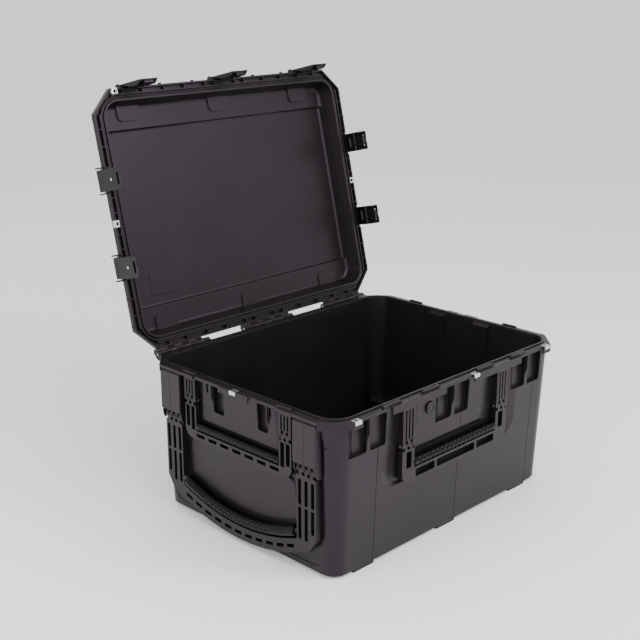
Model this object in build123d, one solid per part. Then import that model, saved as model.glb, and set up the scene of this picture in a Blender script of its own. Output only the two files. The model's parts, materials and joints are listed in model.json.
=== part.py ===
from build123d import *
import os
from math import atan, cos, degrees, radians, sin, sqrt, tan

# Waterproof hard case, lid standing open. Millimetres, +Z up.
# Origin: centre of the base's underside. X runs along the long side
# (front seen from -Y), the hinge is at +Y, the pull handle is on the -X end
# and the wheels are at the +X end.
#
# Pieces that sit on a side are drawn in a side frame: u along the side,
# v inwards from the rim's outer edge (negative v is outside), z up.
# Lid pieces are drawn closed and turned open together at the end.

os.makedirs("parts", exist_ok=True)

# ------------------------------------------------------------ driving sizes
W = 806.0            # rim, outside, along X
D = 616.0            # rim, outside, along Y
H = 365.0            # height of the joint between base and lid
RIM_C = 54.0         # 45 degree cut of the rim's corners
RIM_PLATE = 7.0      # thickness of the base rim's top plate
SKIRT = 18.0         # height of the base rim's outer skirt
SKIRT_T = 4.0
WALL_TOP = 14.5      # wall's inset from the rim edge just under the rim
WALL_BOT = 30.0      # wall's inset at the bottom
BOT_Z = 5.0          # underside of the shell; feet and centre panel reach 0
CAV_TOP = 26.0       # cavity's inset at the rim
CAV_BOT = 36.5       # cavity's inset at the floor
FLOOR_Z = 12.0
CORE_TOP = 22.3      # recess floors follow a core this far in at the rim
CORE_BOT = 31.5      # and this far in at the floor
POCKET_V = 29.0      # floor of the small pockets beside the latches
POCKET_IN = 33.0     # cavity's face behind them
LIP0, LIP1, LIP_H = 19.0, 23.5, 3.5      # sealing tongue on the rim

HINGE_Y = D / 2 + 11.6
HINGE_Z = H - 4.3
LID_OPEN = 103.3     # opening angle at the stop
PIN_R = 3.45
KNUCKLE_R = 8.0

LID_GAP = 0.4        # gap between the two rims when closed
LID_RIM = 12.0       # height of the lid's rim
LID_TOP = 50.0       # lid's top face above the joint
LID_PANEL = 58.0     # raised middle panel
LID_CAV = 44.0       # depth of the cavity at its edges
LID_CAV2 = 52.0      # depth of the middle part
GASKET_V0, GASKET_V1 = 17.0, 25.5

FRONT_STATIONS = (-280.0, 0.0, 280.0)    # latches along the front
SIDE_STATIONS = (-102.0, 102.0)          # latches along each end
LATCH_PV, LATCH_PZ = 3.0, 22.0           # latch pivot: v, height above H
LATCH_W2 = 25.0      # half width
LATCH_END = -66.0    # latch tip below the joint
EAR_U = 30.0         # ears of the latch pivots, either side of a station
TRIG_V, TRIG_Z = -0.6, -28.0             # trigger pivot
LATCH_PIN_R = 2.5
# the latches hang square to the lid; 6 degrees further in they are closed

WHEEL_R, WHEEL_W = 35.0, 44.0
WHEEL_X, WHEEL_Y, WHEEL_Z = 362.0, 217.0, 37.0
AXLE_R = 5.0


# ------------------------------------------------------------------ helpers
def box(x0, x1, y0, y1, z0, z1):
    return Pos((x0 + x1) / 2, (y0 + y1) / 2, (z0 + z1) / 2) * Box(x1 - x0, y1 - y0, z1 - z0)


def rod_x(x0, x1, y, z, r):
    return Pos((x0 + x1) / 2, y, z) * Rot(0, 90, 0) * Cylinder(r, x1 - x0)


def rod_y(y0, y1, x, z, r):
    return Pos(x, (y0 + y1) / 2, z) * Rot(90, 0, 0) * Cylinder(r, y1 - y0)


def rod_z(z0, z1, x, y, r):
    return Pos(x, y, (z0 + z1) / 2) * Cylinder(r, z1 - z0)


def prism(points, u0, u1):
    """outline in (v, z), drawn out along u"""
    return extrude(Plane.YZ.offset(u0) * Polygon(*points, align=None), u1 - u0, dir=(1, 0, 0))


def plate(sketch, v0, v1):
    """outline in (u, z), drawn out along v"""
    return extrude(Plane.XZ.offset(-v1) * sketch, v1 - v0, dir=(0, -1, 0))


def rect(u0, u1, z0, z1, r=0.0):
    s = RectangleRounded(u1 - u0, z1 - z0, r) if r else Rectangle(u1 - u0, z1 - z0)
    return Pos((u0 + u1) / 2, (z0 + z1) / 2) * s


def octagon(inset):
    w, d = W / 2 - inset, D / 2 - inset
    c = RIM_C - inset * (2 - sqrt(2))
    return Polygon((-w + c, -d), (w - c, -d), (w, -d + c), (w, d - c),
                   (w - c, d), (-w + c, d), (-w, d - c), (-w, -d + c), align=None)


def rrect(inset, r):
    return RectangleRounded(W - 2 * inset, D - 2 * inset, r)


def slab(sketch, z0, z1):
    return extrude(Plane.XY.offset(z0) * sketch, z1 - z0, dir=(0, 0, 1))


SIDES = {"front": (0, D / 2), "left": (-90, W / 2), "right": (90, W / 2), "back": (180, D / 2)}


def side(name, shape):
    ang, half = SIDES[name]
    return Rot(0, 0, ang) * (Pos(0, -half, 0) * shape)


def opened(shape):
    return Pos(0, HINGE_Y, HINGE_Z) * (Rot(-LID_OPEN, 0, 0) * (Pos(0, -HINGE_Y, -HINGE_Z) * shape))


def mirror_u(shape):
    return mirror(shape, about=Plane.YZ)


def fillet_if(shape, edges, r):
    try:
        out = fillet(edges, r)
        return out if out.is_valid else shape
    except Exception:
        print("  fillet left out, radius", r)
        return shape


def chamfer_if(shape, edges, c):
    try:
        out = chamfer(edges, c)
        return out if out.is_valid else shape
    except Exception:
        print("  chamfer left out", c)
        return shape


def solids_of(shape):
    return Compound(children=[s for s in shape.solids()])


STATIONS = [("front", u) for u in FRONT_STATIONS] + \
           [("left", u) for u in SIDE_STATIONS] + [("right", u) for u in SIDE_STATIONS]

# ---------------------------------------------------------------- handles
# pivot height, arm inner and outer u, bar bottom and top, grip centre
FRONT_H = dict(side="front", pz=258.0, a0=146.0, a1=187.0, top=345.0, z0=169.0, z1=200.0,
               gz=211.0, gr=10.5, ch=26.0, v0=8.0, v1=22.0)
CARRY_H = dict(side="left", pz=303.0, a0=135.5, a1=174.0, top=356.0, z0=210.0, z1=231.0,
               gz=241.5, gr=9.8, ch=24.0, v0=8.0, v1=22.0)
LUG_R = 7.0
H_PIN_R = 3.0
H_PV = 15.0


def fingers(a0, a1, n=5, gap=0.5):
    """n finger spans from a0 to a1, alternately fixed and moving"""
    w = (a1 - a0) / n
    return [(a0 + i * w + (gap / 2 if i else 0), a0 + (i + 1) * w - (gap / 2 if i < n - 1 else 0))
            for i in range(n)]


def handle_lugs(h):
    """the fixed lugs and slotted hanger moulded on the base, both arms"""
    out = []
    for s in (1, -1):
        f = fingers(h["a0"], h["a1"])
        one = box(h["a0"], h["a1"], h["v0"] - 1, 27, h["pz"] + 12, h["top"])
        # three tall slots in the hanger's face
        w = (h["a1"] - h["a0"]) / 4
        for k in (1, 2, 3):
            c = h["a0"] + k * w
            one -= box(c - 2.2, c + 2.2, h["v0"] - 2, h["v0"] + 8, h["pz"] + 14, h["top"] - 5)
        for i in (0, 2, 4):
            a, b = f[i]
            lug = rod_x(a, b, H_PV, h["pz"], LUG_R + 0.5) + \
                box(a, b, H_PV - LUG_R - 0.5, H_PV + LUG_R + 0.5, h["pz"], h["pz"] + 13)
            one += lug
        one -= rod_x(h["a0"] - 1, h["a1"] + 1, H_PV, h["pz"], H_PIN_R + 0.05)
        out.append(one if s > 0 else mirror_u(one))
    return out


def handle_pins(h):
    one = rod_x(h["a0"] + 0.5, h["a1"] - 0.5, H_PV, h["pz"], H_PIN_R)
    return [one, mirror_u(one)]


def handle_frame(h, bar_windows, arm_windows):
    """U frame: two arms, windowed bar, core rod of the grip"""
    a0, a1, z0, z1 = h["a0"] + 0.4, h["a1"] - 0.4, h["z0"], h["z1"]
    ztop = h["pz"] - LUG_R - 4.0
    c = h["ch"]
    k = c * (1 - sqrt(0.5))
    left_in = Polyline((a0, ztop), (a0, z1), (-a0, z1), (-a0, ztop), (-a1, ztop), (-a1, z0 + c))
    arc_l = ThreePointArc((-a1, z0 + c), (-a1 + k, z0 + k), (-a1 + c, z0))
    low = Line((-a1 + c, z0), (a1 - c, z0))
    arc_r = ThreePointArc((a1 - c, z0), (a1 - k, z0 + k), (a1, z0 + c))
    right_up = Polyline((a1, z0 + c), (a1, ztop), (a0, ztop))
    outline = make_face([*left_in.edges(), arc_l, low, arc_r, *right_up.edges()])
    for (u0, u1) in bar_windows:
        outline -= rect(u0, u1, z0 + 7, z1 - 6, 2)
    for (u0, u1, w0, w1) in arm_windows:
        outline -= rect(u0, u1, w0, w1, 1.5)
        outline -= rect(-u1, -u0, w0, w1, 1.5)
    fr = plate(outline, h["v0"], h["v1"])
    core = rod_x(-a0 - 3, a0 + 3, H_PV, h["gz"], 5.0)
    fr += core
    f = fingers(h["a0"], h["a1"])
    for i in (1, 3):
        a, b = f[i]
        lug = rod_x(a, b, H_PV, h["pz"], LUG_R) + box(a, b, h["v0"], h["v1"], ztop - 1, h["pz"])
        lug -= rod_x(a - 1, b + 1, H_PV, h["pz"], H_PIN_R + 0.05)
        fr += lug
        fr += mirror_u(lug)
    return fr


def straight_grip(h):
    a = h["a0"] - 0.6
    g = rod_x(-a, a, H_PV, h["gz"], h["gr"])
    g -= rod_x(-a - 1, a + 1, H_PV, h["gz"], 5.0)
    return g


# ------------------------------------------------------------ pull handle
P_PZ = 244.0                 # pivot height
P_A0, P_A1 = 188.0, 246.0    # arm, inner and outer u
P_C0, P_C1 = 184.0, 252.0    # cover
P_R = 500.0                  # radius of the curved bar's window line
P_MID = 27.0                 # lowest point of that line
P_LUG = 8.0


def pull_lugs():
    out = []
    f = fingers(P_A0, P_A1, 7)
    one = box(P_A0, P_A1, 8.5, 27, P_PZ + 12, P_PZ + 60)
    for i in (0, 2, 4, 6):
        a, b = f[i]
        one += rod_x(a, b, H_PV, P_PZ, P_LUG) + box(a, b, H_PV - 6.5, H_PV + P_LUG, P_PZ, P_PZ + 13)
    one -= rod_x(P_A0 - 1, P_A1 + 1, H_PV, P_PZ, H_PIN_R + 0.05)
    out = [one, mirror_u(one)]
    return out


def pull_cover():
    """snap-on cover over one arm's hinge, with a centre line in its face"""
    c = box(P_C0, P_C1, 0.0, 22.0, P_PZ + 12, 357.5)
    inner = box(P_C0 + 3, P_C1 - 3, 3.0, 23, P_PZ + 11, 353.5)
    c = chamfer_if(c, [e for e in c.edges().filter_by(Axis.X).group_by(Axis.Y)[0]], 5.0)
    c = fillet_if(c, [e for e in c.edges().filter_by(Axis.Z).group_by(Axis.Y)[0]], 2.5)
    c -= inner
    mid = (P_C0 + P_C1) / 2
    c -= box(mid - 0.6, mid + 0.6, -1, 0.9, P_PZ + 18, 346)
    # the cover's flanks reach down beside the lugs
    for a, b in ((P_C0, P_C0 + 3), (P_C1 - 3, P_C1)):
        c += prism([(4, P_PZ + 12.5), (4, P_PZ + 2), (8, P_PZ - 9), (22, P_PZ - 9), (22, P_PZ + 12.5)], a, b)
    return c


def arc_pts(r_off, u0, u1):
    """points of the bar's arc, offset r_off below the window line"""
    r = P_R + r_off
    cz = P_MID + P_R
    um = (u0 + u1) / 2
    return [(u, cz - sqrt(r * r - u * u)) for u in (u0, um, u1)]


def pull_frame():
    ztop = P_PZ - P_LUG - 4.0
    a0, a1 = P_A0 + 0.4, P_A1 - 0.4
    lo = arc_pts(16.0, -206.0, 206.0)
    hi = arc_pts(-16.0, -a0, a0)
    zl = lo[0][1]
    pts_out = Polyline((-206.0, zl), (-226.0, 62.0), (-a1, 92.0), (-a1, ztop), (-a0, ztop), hi[0])
    pts_in = Polyline(hi[2], (a0, ztop), (a1, ztop), (a1, 92.0), (226.0, 62.0), (206.0, zl))
    low = ThreePointArc(lo[0], lo[1], lo[2])
    up = ThreePointArc(hi[0], hi[1], hi[2])
    outline = make_face([*pts_out.edges(), up, *pts_in.edges(), low])
    # eleven short windows along the bar
    for k in range(-5, 6):
        u = k * 34.5
        t = degrees(u / P_R)
        cz = P_MID + P_R
        outline -= Pos(P_R * sin(radians(t)), cz - P_R * cos(radians(t))) * Rot(0, 0, t) * RectangleRounded(23, 8, 2)
    # three columns of two slots in each arm
    w = (a1 - a0) / 3
    for s in (1, -1):
        for k in range(3):
            c = s * (a0 + w * (k + 0.5))
            zb = 84.0 if k < 2 else 104.0
            outline -= rect(c - 4.6, c + 4.6, zb, 158, 2)
            outline -= rect(c - 4.6, c + 4.6, 164, 222, 2)
    fr = plate(outline, 8.0, 22.0)
    f = fingers(P_A0, P_A1, 7)
    for i in (1, 3, 5):
        a, b = f[i]
        lug = rod_x(a, b, H_PV, P_PZ, LUG_R) + box(a, b, 8.0, 22.0, ztop - 1, P_PZ)
        lug -= rod_x(a - 1, b + 1, H_PV, P_PZ, H_PIN_R + 0.05)
        fr += lug
        fr += mirror_u(lug)
    return fr


GRIP_OFF = -31.0             # grip's centre line above the window line
GRIP_R = 13.0


def pull_arc(r_tube, u1):
    r = P_R + GRIP_OFF
    cz = P_MID + P_R
    z1 = cz - sqrt(r * r - u1 * u1)
    path = ThreePointArc((-u1, H_PV, z1), (0, H_PV, cz - r), (u1, H_PV, z1))
    prof = Plane(origin=path @ 0, z_dir=path % 0) * Circle(r_tube)
    return sweep(prof, path)


# ------------------------------------------------------------------ latches
def latch_arm():
    e = H + LATCH_END
    pv, pz = LATCH_PV, H + LATCH_PZ
    arm = prism([(-4.8, e), (-8, e), (-8, H + 23), (-2, H + 29), (3, H + 29), (3, H + 15), (0, H + 14), (-4.8, H + 8)],
                -LATCH_W2, LATCH_W2)
    arm += rod_x(-LATCH_W2, LATCH_W2, pv, pz, 7.0)
    # side flanges, deeper below the rim
    fl = [(-4.9, H + 10), (-1.5, H + 8), (-1.5, H - 8), (3.3, H - 16), (3.3, H - 50), (-1, H - 58), (-4.9, H - 61)]
    for a, b in ((LATCH_W2 - 3, LATCH_W2), (-LATCH_W2, -LATCH_W2 + 3)):
        arm += prism(fl, a, b)
    # slot across the face near the tip, above a shallow finger notch
    arm -= plate(Pos(0, e - 21.5) * Circle(23.0), -9, -4)
    arm -= plate(rect(-14.5, 14.5, e + 5.5, e + 13.5, 3.0), -9, -4)
    tips = plate(rect(-LATCH_W2 - 1, LATCH_W2 + 1, e - 1, e + 40), -9, 5) - \
        plate(rect(-LATCH_W2, LATCH_W2, e, e + 60, 4.5), -10, 6)
    arm -= tips
    # shallow dished panel and the rivet's seat in the face
    arm -= plate(rect(-20, 20, H - 42, H + 12, 4), -8.1, -7.4)
    arm += plate(Pos(0, H - 29) * Circle(4.0), -8.0, -7.0)
    # finger grooves towards the tip
    for k in range(2):
        arm -= plate(rect(-15, 15, H - 48.5 + 3.0 * k, H - 47.3 + 3.0 * k), -8.1, -7.5)
    arm -= rod_x(-LATCH_W2 - 1, LATCH_W2 + 1, pv, pz, LATCH_PIN_R + 0.05)
    arm -= rod_x(-LATCH_W2 - 1, LATCH_W2 + 1, TRIG_V, H + TRIG_Z, 2.55)
    return arm


def latch_trigger():
    t = prism([(-1, H - 12), (-1, H - 8.4), (3.5, H - 9.0), (3.5, H - 11), (1.5, H - 14), (1.5, H - 48), (3.0, H - 50),
               (3.0, H - 62), (1.5, H - 64), (-3.6, H - 64), (-4.0, H - 62), (-4.0, H - 47), (-1, H - 42)], -13, 13)
    t -= box(-11.5, 11.5, -4.5, -0.6, H - 60.5, H - 52.0)
    t += rod_x(-21.5, 21.5, TRIG_V, H + TRIG_Z, 3.6)
    t += rod_x(-24.7, 24.7, TRIG_V, H + TRIG_Z, 2.5)
    # two ribs stiffen the lever
    for a, b in ((-10, -8), (8, 10)):
        t += prism([(1.4, H - 16), (3.2, H - 20), (3.2, H - 46), (1.4, H - 49)], a, b)
    return t


def latch_spring():
    """flat return spring between the latch's face and the trigger's upper end"""
    return prism([(-4.8, H - 24), (-4.3, H - 24), (-4.2, H - 19), (-3.4, H - 13), (-3.8, H - 12.6), (-4.6, H - 18.8), (-4.8, H - 19)], -6, 6)


def lid_ears():
    """the two ears that carry a latch's pin"""
    prof = [(22, H + 9), (-2, H + 10), (-8, H + 14), (-10.5, H + 20), (-9, H + 27), (-3, H + 31), (8, H + 32), (24, H + 32)]
    out = []
    for a, b in ((EAR_U - 1.5, EAR_U + 1.5), (-EAR_U - 1.5, -EAR_U + 1.5)):
        ear = prism(prof, a, b)
        ear -= rod_x(a - 1, b + 1, LATCH_PV, H + LATCH_PZ, LATCH_PIN_R + 0.05)
        out.append(ear)
    return out


# ================================================================ base shell
print("base shell")
taper_o = degrees(atan((WALL_BOT - WALL_TOP) / (H - RIM_PLATE - BOT_Z)))
taper_c = degrees(atan((CAV_BOT - CAV_TOP) / (H - FLOOR_Z)))
outer = extrude(Plane.XY.offset(BOT_Z) * rrect(WALL_BOT, 36), H - RIM_PLATE - BOT_Z, taper=-taper_o)
outer = chamfer_if(outer, outer.edges().group_by(Axis.Z)[0], 3.0)
cavity = extrude(Plane.XY.offset(FLOOR_Z) * rrect(CAV_BOT, 32), H + LIP_H + 1 - FLOOR_Z, taper=-taper_c)

rim = slab(octagon(0), H - RIM_PLATE, H)
rim += slab(octagon(0) - octagon(SKIRT_T), H - SKIRT, H - RIM_PLATE + 1)
rim += slab(rrect(LIP0, 52) - rrect(LIP1, 47.5), H - 1, H + LIP_H)

core = extrude(Plane.XY * rrect(CORE_BOT, 34), H, taper=-degrees(atan((CORE_BOT - CORE_TOP) / H)))
# wheel wells
WELL = dict(x0=323.0, y0=186.0, y1=248.0, z1=82.0)


def well(s, grow, xo=20.0):
    y0, y1 = sorted((s * (WELL["y0"] - grow), s * (WELL["y1"] + grow)))
    b = box(WELL["x0"] - grow, W / 2 + xo, y0, y1, -1, WELL["z1"] + grow)
    r = 10.0 + grow
    return fillet_if(b, [e for e in b.edges().filter_by(Axis.Y).group_by(Axis.Z)[-1].sort_by(Axis.X)[:1]], r)


FRONT_POCKETS = ((-46.0, -10.0, 24.0), (13.0, 50.0, 14.0))     # from, to, length of the soft left flank


def pocket(a, b, z0, ramp):
    """upright pocket that opens under the rim, its left flank running out softly"""
    s = Polygon((a - ramp, 4.2), (b, 4.2), (b, POCKET_V), (a + 2, POCKET_V), (a - ramp, 16.5), align=None) if ramp else \
        Polygon((a, 4.2), (b, 4.2), (b, POCKET_V), (a, POCKET_V), align=None)
    k = slab(s, z0, H - 8)
    return fillet_if(k, k.edges().filter_by(Axis.Y).group_by(Axis.Z)[0], 6.0)


def end_pocket(name, u):
    """span of the pocket beside a latch of the left or right end"""
    if name == "left":
        return (u + 19, u + 54) if u < 0 else (u - 40, u - 8)
    return (u + 8, u + 40) if u < 0 else (u - 54, u - 19)


for s in (1, -1):
    cavity -= well(s, 4.5)
for name, u in STATIONS:
    # the cavity's wall steps in behind the pockets
    zb = 262 if name == "front" else 274
    if name == "front":
        spans = [(u - 72, u - 6), (u - 9, u + 56)]
    else:
        a, b = end_pocket(name, u)
        spans = [(a - 9, b + 7)]
    for a, b in spans:
        cavity -= side(name, prism([(-1, zb), (POCKET_IN, zb + 8), (POCKET_IN, H - 9), (CAV_TOP + 0.2, H - 1.5), (-1, H - 1.5)], a, b))

# feet: where the wall runs straight down to the floor, front and back
feet = []
for u in FRONT_STATIONS:
    f = box(u - 33, u + 33, WALL_BOT + 0.6, WALL_BOT + 46, 0, BOT_Z + 10)
    f = chamfer_if(f, f.edges().filter_by(Axis.Z), 2.5)
    feet += [side("front", f), side("back", f)]
panel = slab(RectangleRounded(420, 220, 20), 0, BOT_Z + 1)

base = outer + rim
base += feet
base += panel

# recess behind the front handle, with the raised middle that carries the centre latch
ZT = H - 14


def ramped(a, b, v0, v1):
    """between rectangle a (u, z0, z1, r) at v0 and rectangle b at v1"""
    ra, rb = (Plane.XZ.offset(-v) * rect(-q[0], q[0], q[1], q[2], q[3]) for v, q in ((v0, a), (v1, b)))
    return loft([ra, rb])


def on_wall(shape):
    """from the front wall's own frame: depth below its face, height up its slope from the rim"""
    return Pos(0, WALL_TOP, H - RIM_PLATE) * Rot(taper_o, 0, 0) * shape


def block(a, b, v0, v1):
    """loft between two rectangles (u0, u1, z0, z1, corner radius) at depths v0 and v1"""
    ra, rb = (Plane.XZ.offset(-v) * rect(*q) for v, q in ((v0, a), (v1, b)))
    return loft([ra, rb])


rec = block((-238, 238, -190, 60, 40), (-192, 192, -180, 60, 20), 0, 7.5) + plate(rect(-238, 238, -190, 60, 40), -24, 0)
rec = on_wall(rec) & box(-400, 400, 4.2, 60, 0, ZT)
mid = block((-133, 98, -118, 60, 6), (-143, 143, -138, 60, 8), 0, 7.5) + plate(rect(-133, 98, -118, 60, 6), -24, 0)
base -= side("front", rec - on_wall(mid)) - core
base -= side("front", box(-144, 144, 4, 22.6, FRONT_H["z0"] - 3, FRONT_H["z1"] + 4)) - core
base -= side("front", rod_x(-144, 144, H_PV, FRONT_H["gz"], 20.0)) - core
# left end: pull handle recess, the panel inside it and the carry handle's channel
rec_l = ramped((262, 12, ZT, 44), (250, 24, ZT, 36), 8, 38) + plate(rect(-262, 262, 12, ZT, 44), -8, 8)
pan1 = ramped((170, 62, 206, 24), (186, 50, 214, 30), 21, 38)
pan2 = ramped((108, 257, H + 20, 10), (146, 232, H + 20, 10), 8, 34)
base -= side("left", rec_l - pan1 - pan2) - core
base -= side("left", rod_x(-133, 133, H_PV, CARRY_H["gz"], 19.0)) - core
base -= side("left", pull_arc(GRIP_R + 12.0, P_A0 - 6)) - core
# right end: carry handle's channel
rec_r = ramped((206, 186, ZT, 30), (172, 208, ZT, 24), 8, 34) + plate(rect(-206, 206, 186, ZT, 30), -8, 8)
base -= side("right", rec_r - pan2) - core
base -= side("right", rod_x(-133, 133, H_PV, CARRY_H["gz"], 19.0)) - core

# latch stations
for name, u in STATIONS:
    if name == "front":
        w0, w1 = (u - 51 if u > -200 else u - 40), (u + 51 if u < 200 else u + 40)
        cuts = [pocket(u + a, u + b, 277, r) for a, b, r in FRONT_POCKETS] + [
                box(u - 1, u + 4, 9, 24, H - 40, H - 10),
                box(w0, w1, -8, 4.0, H - SKIRT - 1, H + 0.01)]
        r = prism([(11, H - 5), (11, H - 45), (17, H - 62), (22, H - 62), (22, H - 5)], u - 9.5, u - 7)
    else:
        a, b = end_pocket(name, u)
        cuts = [pocket(a, b, 289, 0),
                box(u - 3, u + 3, 9, 24, H - 34, H - 12),
                box(u - 54, u + 34, -8, 4.0, H - SKIRT - 1, H + 0.01) if u > 0 else
                box(u - 34, u + 54, -8, 4.0, H - SKIRT - 1, H + 0.01)]
        c = a - 2.5 if u < 0 else b + 2.5
        r = prism([(11, H - 5), (11, H - 40), (17, H - 56), (22, H - 56), (22, H - 5)], c - 1.5, c + 1.5)
    for k in cuts:
        base -= side(name, k)
    base += side(name, r)
# skirt is cut away over the hanger and cover of the end handles
for s in (1, -1):
    a, b = sorted((s * 132.0, s * 255.0))
    base -= side("left", box(a, b, -8, 14.5, H - SKIRT - 1, H - RIM_PLATE))
    a, b = sorted((s * 132.0, s * 177.0))
    base -= side("right", box(a, b, -8, 14.5, H - SKIRT - 1, H - RIM_PLATE))

# room for the covers over the pull handle's hinges
for s in (1, -1):
    a, b = sorted((s * (P_C0 - 0.4), s * (P_C1 + 0.4)))
    base -= side("left", box(a, b, -8, 22.3, 330, H - RIM_PLATE))

# lugs of the handles
for h in handle_lugs(FRONT_H):
    base += side("front", h)
for h in handle_lugs(CARRY_H):
    base += side("left", h)
    base += side("right", h)
for h in pull_lugs():
    base += side("left", h)

# raised bars on the rim that fit into the lid's channel
BARS = [("front", u, 28.0) for u in (-224.0, -97.0, 97.0, 224.0)] + \
       [(n, u, 20.0) for n in ("left", "right") for u in (-154.0, 154.0)]
for name, u, w in BARS:
    t = box(u - w, u + w, 5.5, 12.5, H - 2, H + 6)
    t = chamfer_if(t, t.edges().group_by(Axis.Z)[-1], 1.2)
    base += side(name, t)

# parting lines down the front
for u in FRONT_STATIONS:
    g = Pos(u + 26, WALL_TOP, H - RIM_PLATE) * Rot(taper_o, 0, 0) * box(-0.7, 0.7, -4, 1.4, -360, -12)
    base -= side("front", g)

# flat boss inside the wall for the valve's nut
cavity -= side("front", rod_y(0, 31.5, -89.0, 321.0, 17.0))
base -= cavity

# wheel wells, open below and outwards
for s in (1, -1):
    base -= well(s, 0.0)

# hinge knuckles of the base and the heels that stop the lid
base_arm = [(D / 2 - 4, H - 17.5), (D / 2 - 4, H - 0.6), (D / 2 + 2, H - 0.6), (D / 2 + 5.5, H + 0.6),
            (HINGE_Y, HINGE_Z), (D / 2 + 17, H - 12), (D / 2 + 8, H - 17.5)]
heel = [(HINGE_Y + 1, HINGE_Z - 7.5), (HINGE_Y + 5.5, HINGE_Z + 5.5), (D / 2 + 20, H + 5.15), (D / 2 + 29, H + 3.0),
        (D / 2 + 29, H - 7), (D / 2 + 19, H - 14)]
lid_arm = [(D / 2 - 4, H + 1.0), (D / 2 + 0.3, H + 1.0), (D / 2 + 3.7, HINGE_Z), (HINGE_Y, HINGE_Z),
           (HINGE_Y + 5, HINGE_Z + 6.2), (D / 2 + 8, H + 9), (D / 2, H + LID_RIM), (D / 2 - 4, H + LID_RIM)]
OUT_SEG = (40, 16, 30, 12, 30, 14, 18)
MID_SEG = (34, 15, 28, 15, 28, 15, 34)
spans = []                       # (x0, x1, belongs to base)
x = -359.0
for k, w in enumerate(OUT_SEG):
    spans.append((x, x + w, k % 2 == 0, 0))
    x += w
spans += [(-b, -a, o, 2) for a, b, o, _ in spans[:7]]
x = -84.5
for k, w in enumerate(MID_SEG):
    spans.append((x, x + w, k % 2 == 0, 1))
    x += w
base_knuckles, lid_knuckles = [], []
for a, b, own, _ in spans:
    a, b = a + 0.3, b - 0.3
    k = rod_x(a, b, HINGE_Y, HINGE_Z, KNUCKLE_R)
    if own:
        k += prism(base_arm, a, b)
        if b - a > 25:
            k += prism(heel, a + 4, b - 4)
    else:
        k += prism(lid_arm, a, b)
    k -= rod_x(a - 1, b + 1, HINGE_Y, HINGE_Z, PIN_R + 0.05)
    (base_knuckles if own else lid_knuckles).append(k)
base += base_knuckles

# seats of the lock plates, valve and housing screws
BASE_LOOPS = [("front", -335.0), ("front", 57.0), ("front", 335.0), ("left", 0.0), ("right", 0.0)]
LID_LOOPS = [("front", -335.0), ("left", 0.0), ("right", 0.0)]
LOOP_W2, LID_W2, LOOP_T, LOOP_V, LOOP_R = 9.5, 8.0, 2.0, 7.5, 4.2


def lock_plate(z0, z1, up, w):
    """flat plate over the rim with a padlock hole, its front edge bent up or down"""
    p = box(-w, w, -1.0, 13.0, z0, z1)
    p += box(-w, w, -1.0, 1.0, z0, z1 + 6.0) if up else box(-w, w, -1.0, 1.0, z0 - 7.0, z1)
    p = chamfer_if(p, p.edges().filter_by(Axis.X).group_by(Axis.Y)[0], 0.5)
    return p - rod_z(z0 - 1, z1 + 1, 0, LOOP_V, LOOP_R)


for name, u in BASE_LOOPS:
    base -= side(name, box(u - LOOP_W2, u + LOOP_W2, -8, 13.0, H - 0.1 - LOOP_T, H + 1))
    base -= side(name, box(u - LOOP_W2, u + LOOP_W2, -8, 1.0, H - 0.1 - LOOP_T - 7.0, H + 1))
    base -= side(name, rod_z(H - 12, H + 1, u, LOOP_V, LOOP_R + 0.5))
VALVE_U, VALVE_Z = -89.0, 321.0
VALVE_IN = 31.5             # flat boss inside for the valve's nut
base -= side("front", rod_y(0, 60, VALVE_U, VALVE_Z, 8.05))
base -= side("front", rod_y(0, WALL_TOP + 1.5, VALVE_U, VALVE_Z, 15.0))
for s in (1, -1):
    for dy in (-16, 16):
        base -= rod_x(WELL["x0"] - 6, WELL["x0"] + 1, s * WHEEL_Y + dy, 60, 2.45)
# small drain hole beside the front left corner
base -= side("left", rod_y(-5, 26, 247.5 + 14, 305, 1.8))

# ================================================================ lid shell
print("lid shell")
z0 = H + LID_GAP
lid = slab(octagon(0), z0, H + LID_RIM)
t1 = degrees(atan(13.0 / (LID_TOP - LID_RIM + 2)))
dome = extrude(Plane.XY.offset(H + LID_RIM - 2) * rrect(15, 50), LID_TOP - LID_RIM + 2, taper=t1)
dome = fillet_if(dome, dome.edges().group_by(Axis.Z)[-1], 7.0)
lid += dome
pan = extrude(Plane.XY.offset(H + LID_TOP - 3) * RectangleRounded(W - 70, 452, 18), LID_PANEL - LID_TOP + 3, taper=20)
pan = fillet_if(pan, pan.edges().group_by(Axis.Z)[-1], 2.0)
lid += pan

tc = degrees(atan(10.0 / LID_CAV))
lcav = extrude(Plane.XY.offset(H - 1) * rrect(30, 40), LID_CAV + 1, taper=tc)
lcav = fillet_if(lcav, lcav.edges().group_by(Axis.Z)[-1], 8.0)
lcav2 = extrude(Plane.XY.offset(H + 20) * RectangleRounded(W - 2 * 35, 436, 10), LID_CAV2 - 20, taper=degrees(atan(6.0 / (LID_CAV2 - 20))))
lcav2 = fillet_if(lcav2, lcav2.edges().group_by(Axis.Z)[-1], 6.0)
lcav += lcav2
# tab shaped pads of the inner face
for u in FRONT_STATIONS:
    for s in (1, -1):
        p = slab(Pos(u, s * 256) * RectangleRounded(64, 46, 14), H + LID_CAV - 4.0, H + LID_CAV + 5)
        p += slab(Pos(u, s * 266) * Rectangle(64, 26), H + LID_CAV - 4.0, H + LID_CAV + 5)
        lcav -= p
lcav -= slab(Pos(-257, 160) * RectangleRounded(86, 56, 3), H + LID_CAV2 - 1.2, H + LID_CAV2 + 2)
lid -= lcav

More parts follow.
